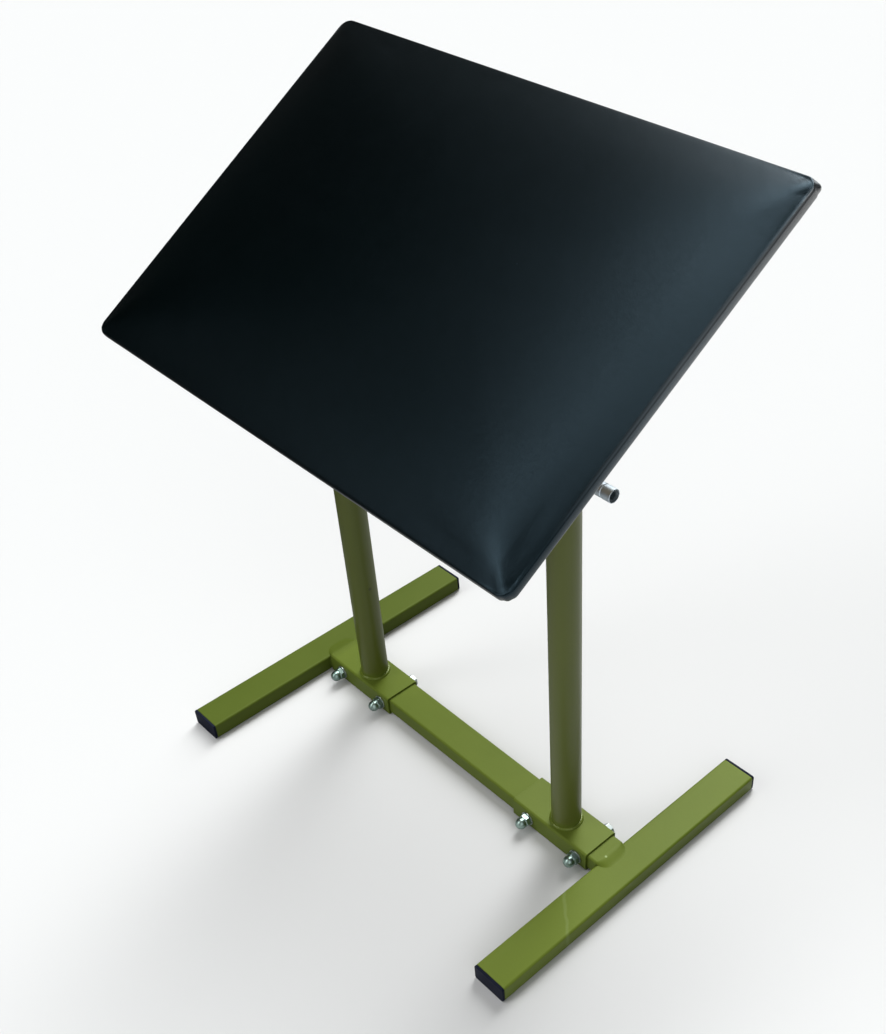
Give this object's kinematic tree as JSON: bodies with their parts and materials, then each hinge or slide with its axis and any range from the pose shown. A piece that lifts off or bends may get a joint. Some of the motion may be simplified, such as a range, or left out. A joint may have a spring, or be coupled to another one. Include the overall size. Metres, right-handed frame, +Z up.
{
  "type": "tattoo arm rest stand",
  "caption": "Free-standing arm rest: a thin crowned leatherette pad tilts on a tube carried by two height-adjustable posts over an H-shaped tube base.",
  "frame": {"origin": "on the floor under the middle of the stand", "axes": "+X across the stand from the left foot to the right foot, +Y along the feet towards the raised edge of the pad, +Z up"},
  "size_m": [0.554, 0.378, 0.7055],
  "materials": {
    "green_enamel": "semi-gloss olive green enamel",
    "plug_plastic": "matte dark blue-black moulded plastic",
    "zinc_steel": "zinc-plated satin",
    "bright_steel": "bright nickel-chrome plate",
    "bush_plastic": "matte black nylon",
    "plywood": "raw birch plywood",
    "foam": "open-cell upholstery foam",
    "leatherette": "black semi-matte leatherette with a fine grain",
    "liner_rubber": "matte black rubber"
  },
  "bodies": {
    "base": {"left_foot_tube": "green_enamel", "right_foot_tube": "green_enamel", "left_foot_stub": "green_enamel", "right_foot_stub": "green_enamel", "stub_weld_beads": "green_enamel", "foot_end_plugs": "plug_plastic", "crossbar": "green_enamel", "left_sleeve": "green_enamel", "right_sleeve": "green_enamel", "left_post": "green_enamel", "right_post": "green_enamel", "post_weld_beads": "green_enamel", "base_bolts": "zinc_steel", "base_bolt_washers": "zinc_steel", "base_dome_nuts": "bright_steel", "left_guide_bush": "bush_plastic", "right_guide_bush": "bush_plastic", "left_clamp_boss": "green_enamel", "right_clamp_boss": "green_enamel", "clamp_lock_nuts": "zinc_steel"},
    "left_clamp_screw": {"left_clamp_screw": "bright_steel"},
    "right_clamp_screw": {"right_clamp_screw": "bright_steel"},
    "upper_frame": {"left_upright": "bright_steel", "right_upright": "bright_steel", "upright_glide_plugs": "bush_plastic", "pivot_tube": "bright_steel", "pivot_tube_plugs": "plug_plastic", "upright_weld_beads": "bright_steel"},
    "pad": {"pad_board": "plywood", "pad_foam": "foam", "pad_cover": "leatherette", "cover_staples": "zinc_steel", "left_pad_strap": "zinc_steel", "right_pad_strap": "zinc_steel", "strap_liners": "liner_rubber", "strap_bolts": "zinc_steel", "strap_washers": "zinc_steel", "strap_nuts": "zinc_steel"}
  },
  "joints": [
    {"name": "height_slide", "type": "slide", "parent": "base", "child": "upper_frame", "axis": [0, 0, 1], "range_m": [-0.07, 0.14]},
    {"name": "pad_tilt", "type": "hinge", "parent": "upper_frame", "child": "pad", "pos_m": [0, 0, 0.585], "axis": [1, 0, 0], "range_deg": [-107, 43]},
    {"name": "left_clamp_turn", "type": "hinge", "parent": "base", "child": "left_clamp_screw", "pos_m": [-0.1915, 0, 0.474], "axis": [-1, 0, 0], "range_deg": [0, 360]},
    {"name": "right_clamp_turn", "type": "hinge", "parent": "base", "child": "right_clamp_screw", "pos_m": [0.1915, 0, 0.474], "axis": [1, 0, 0], "range_deg": [0, 360]}
  ]
}
